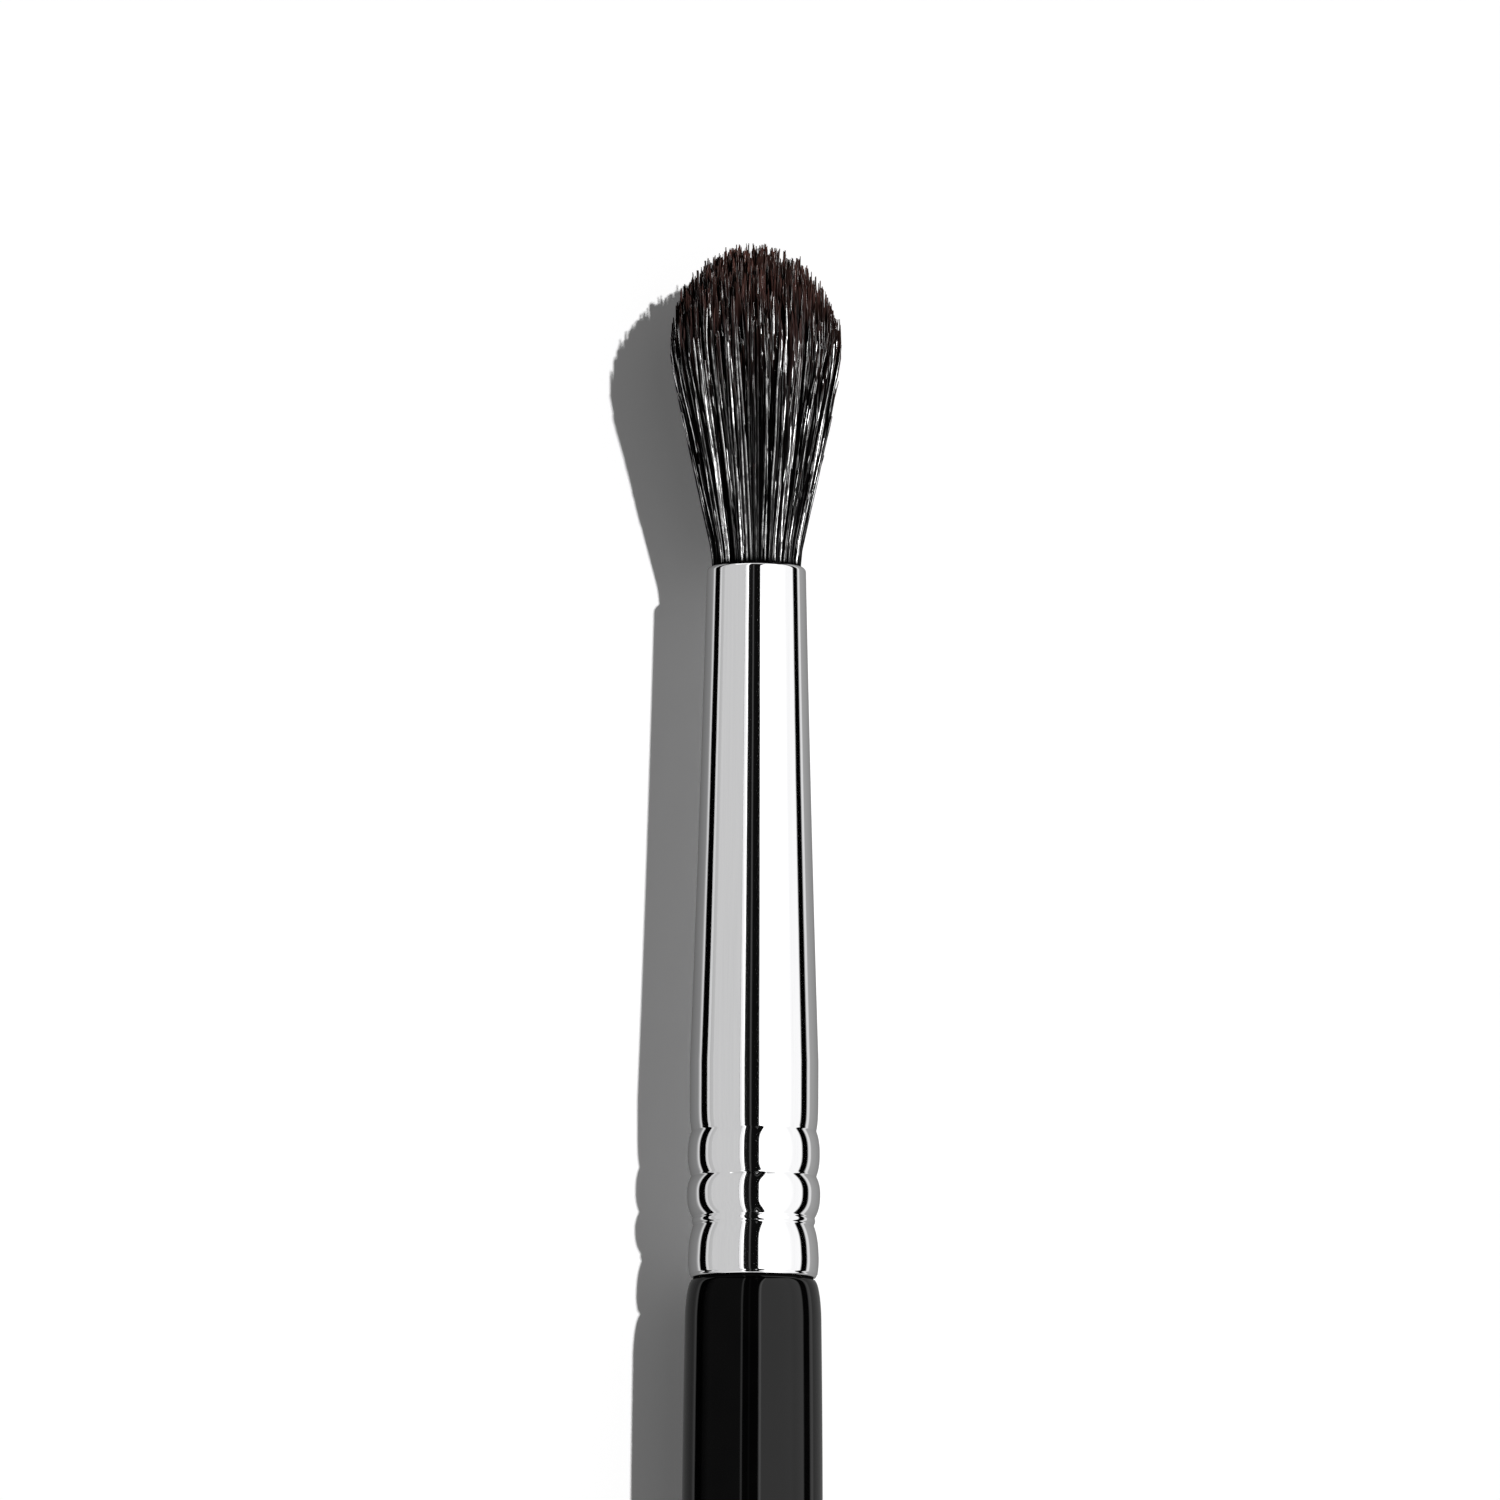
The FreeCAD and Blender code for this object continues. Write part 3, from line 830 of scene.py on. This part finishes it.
# Brightness seen round the brush's axis, in degrees from straight overhead, to the right positive
STUDIO_ROUND = [
    (-180, 0.11), (-122, 0.24), (-117, 0.4), (-115, 0.7), (-111.5, 0.7), (-109.5, 0.0), (-94.5, 0.0),
    (-92, 0.04), (-78, 0.12), (-20.6, 0.12), (-20.2, 1.0), (-18.2, 1.0), (-17.2, 0.01), (-7.6, 0.004),
    (-6.8, 0.11), (-6.0, 0.11), (-5.2, 0.004), (9.0, 0.004), (10.5, 2.4), (13.0, 2.4), (14.0, 1.2),
    (66, 1.2), (74, 1.06), (92.5, 1.1), (95, 0.0), (109, 0.0), (112, 0.8), (118, 0.8), (121, 0.38),
    (180, 0.2),
]
# How much of that is left along the brush, from the tail's end of the room, -1, to the tips' end, 1
STUDIO_ALONG = [(-0.9, 1.0), (0.74, 1.0), (0.84, 0.0)]
# The bright wall at the tail's end, on the same scale
TAIL_WALL = [(-0.87, 1.0), (-0.8, 0.0)]
# How far the white wall's corners draw in, and the share of that by angle from overhead, in radians
PANEL_CORNER = 1.3
PANEL_CORNER_POWER = 4.0
PANEL_CORNER_REACH = 1.2
PANEL_CORNER_SHARES = [(0.0, 0.0), (0.1, 1.0), (1.0, 0.0)]
FILL = 0.12
KEY_DIRECTION = (0.55, 0.26, 1.0)
KEY_STRENGTH = 3.3
KEY_WIDTH = math.radians(1.2)
# Panels that only some pieces mirror: turn and rise in degrees, width and length in mm, and brightness
HAIR_PANELS = [(30.0, -2.0, 110, 180, 36.0), (-52.0, -2.0, 90, 180, 16.0)]
FERRULE_PANELS = [(-89.5, 0.0, 21, 900, 0.65), (-82.2, 0.0, 30, 900, 0.44), (-51.8, 0.0, 197, 900, 0.52),
                  (-21.4, 0.0, 26, 900, 0.86), (0.0, 66.0, 300, 60, 0.9)]
LAMP_DISTANCE = 200 * MM
TABLE_REACH = 6.0
TABLE_GLOW = 0.105


def studio_world():
    """The room round the brush: a grey card on the left, a dark gap overhead and a white wall on the right.

    The angle round the brush's axis picks the brightness from a table, and the panels end before the room
    does. The white wall has round corners: near its inner edge, a share of the fourth power of the way
    along the brush is taken off the angle. Light that falls on matt surfaces is turned down to a soft
    fill, so that the key light keeps its shadow.
    """
    world = bpy.data.worlds.new("studio")
    world.use_nodes = True
    tree = world.node_tree
    tree.nodes.clear()
    way = add_node(tree, "ShaderNodeTexCoord").outputs["Generated"]
    axes = add_node(tree, "ShaderNodeSeparateXYZ", {"Vector": way}).outputs
    angle = reckoned(tree, "ARCTAN2", axes["X"], axes["Z"])
    power = reckoned(tree, "POWER", reckoned(tree, "ABSOLUTE", axes["Y"]), PANEL_CORNER_POWER)
    share = ramp(tree, stretched(tree, angle, 0.0, PANEL_CORNER_REACH), PANEL_CORNER_SHARES)
    corner = reckoned(tree, "MULTIPLY", reckoned(tree, "MULTIPLY", power, PANEL_CORNER), share)
    turn = stretched(tree, reckoned(tree, "SUBTRACT", angle, corner), -math.pi, math.pi)
    panels = ramp(tree, turn, [((degrees + 180) / 360, level) for degrees, level in STUDIO_ROUND])
    along = stretched(tree, axes["Y"], -1.0, 1.0)
    kept = ramp(tree, along, [((place + 1) / 2, level) for place, level in STUDIO_ALONG])
    wall = ramp(tree, along, [((place + 1) / 2, level) for place, level in TAIL_WALL])
    room = reckoned(tree, "ADD", reckoned(tree, "MULTIPLY", panels, kept), wall)
    path = add_node(tree, "ShaderNodeLightPath").outputs
    mirrored = reckoned(tree, "MAXIMUM", path["Is Glossy Ray"], path["Is Transmission Ray"])
    room = reckoned(tree, "MULTIPLY", room, stretched(tree, mirrored, 0.0, 1.0, FILL, 1.0))
    strength = reckoned(tree, "MAXIMUM", room, path["Is Camera Ray"])
    background = add_node(tree, "ShaderNodeBackground", {"Color": (1, 1, 1, 1), "Strength": strength})
    output = add_node(tree, "ShaderNodeOutputWorld")
    tree.links.new(background.outputs[0], output.inputs[0])
    bpy.context.scene.world = world


def key_light():
    """One hard light from the upper right, as its shadow shows."""
    light = bpy.data.lights.new("key", "SUN")
    light.energy = KEY_STRENGTH
    light.angle = KEY_WIDTH
    lamp = bpy.data.objects.new("key", light)
    lamp.rotation_euler = Vector(KEY_DIRECTION).to_track_quat("Z", "Y").to_euler()
    lamp.visible_glossy = False
    bpy.context.scene.collection.objects.link(lamp)


def panel_light(name, pieces, turn, rise, width, length, level):
    """A panel of this brightness at two angles from straight overhead, mirrored by some pieces only."""
    light = bpy.data.lights.new(name, "AREA")
    light.shape = "RECTANGLE"
    light.size, light.size_y = width * MM, length * MM
    light.energy = level * math.pi * light.size * light.size_y
    lamp = bpy.data.objects.new(name, light)
    turn, rise = math.radians(turn), math.radians(rise)
    way = Vector((math.sin(turn) * math.cos(rise), math.sin(rise), math.cos(turn) * math.cos(rise)))
    side = Vector((0, 1, 0)).cross(way).normalized()
    facing = Matrix((side, way.cross(side), way)).transposed().to_4x4()
    lamp.matrix_world = Matrix.Translation(Vector(MOUTH) + way * LAMP_DISTANCE) @ facing
    lamp.visible_diffuse = False
    lamp.visible_camera = False
    bpy.context.scene.collection.objects.link(lamp)
    lit = bpy.data.collections.new(name)
    for piece in pieces:
        lit.objects.link(piece)
    lamp.light_linking.receiver_collection = lit


def table():
    """A plain white table, wide enough for every view."""
    corners = np.array([(-1, -1, 0), (1, -1, 0), (1, 1, 0), (-1, 1, 0)]) * TABLE_REACH
    mesh = bpy.data.meshes.new("table")
    mesh.from_pydata(corners.tolist(), [], [(0, 1, 2, 3)])
    top = bpy.data.objects.new("table", mesh)
    bpy.context.scene.collection.objects.link(top)
    material, _, shader = new_material("table_white")
    shader["Base Color"].default_value = (0.95, 0.95, 0.95, 1)
    shader["Roughness"].default_value = 1.0
    shader["Specular IOR Level"].default_value = 0.0
    shader["Emission Color"].default_value = (1, 1, 1, 1)
    shader["Emission Strength"].default_value = TABLE_GLOW
    dress(top, material)
    top.visible_glossy = False


def camera():
    """Above the brush, leaning towards the handle, at the photograph's scale and tilt."""
    target = MOUTH + ALONG * PICTURE_CENTRE_STATION + ACROSS * PICTURE_CENTRE_ACROSS
    back = Vector((0, -math.sin(CAMERA_LEAN), math.cos(CAMERA_LEAN)))
    top = Vector((0, math.cos(CAMERA_LEAN), math.sin(CAMERA_LEAN)))
    right = Vector((1, 0, 0))
    rolled_top = top * math.cos(CAMERA_ROLL) - right * math.sin(CAMERA_ROLL)
    rolled_right = right * math.cos(CAMERA_ROLL) + top * math.sin(CAMERA_ROLL)
    place = Vector(target) + back * CAMERA_DISTANCE
    data = bpy.data.cameras.new("camera")
    data.sensor_width = SENSOR_SIDE
    data.lens = SENSOR_SIDE * CAMERA_DISTANCE / (PICTURE_SIDE / PIXELS_PER_MM * MM)
    data.clip_start = CLIP_START
    view = bpy.data.objects.new("camera", data)
    bpy.context.scene.collection.objects.link(view)
    facing = Matrix((rolled_right, rolled_top, back)).transposed().to_4x4()
    view.matrix_world = Matrix.Translation(place) @ facing
    bpy.context.scene.camera = view


def main():
    """Make the pieces, their finishes, the studio and the camera."""
    brushed, specks, mottle = brushed_group(), specks_group(), mottle_group()
    ferrule, handle = make_ferrule(), make_handle()
    dress(ferrule, plating(brushed, specks, mottle))
    # The last finish is painted shade: dull black in the joint, standing for the gap's shadow.
    dress(handle, lacquer(specks, mottle), bare_wood(brushed, mottle), joint_shade_finish(mottle))
    part_handle(handle)
    hairs = hair_seeds()
    hair_finish = hair()
    bristles = [make_bristles(*layer, hairs) for layer in HAIR_LAYERS]
    for layer in bristles:
        dress(layer, hair_finish)
    dress_packed("bristle_root", packed_hair(brushed, mottle))
    dress_packed("binding_thread", thread(brushed, mottle))
    dress_packed("root_resin", resin(specks, mottle))
    dress_packed("tenon_glue", glue(brushed, mottle))

    studio_world()
    key_light()
    for panel in HAIR_PANELS:
        panel_light("hair_panel", bristles, *panel)
    for panel in FERRULE_PANELS:
        panel_light("ferrule_panel", [ferrule], *panel)
    table()
    camera()
    bpy.context.scene.view_settings.view_transform = "Standard"


main()
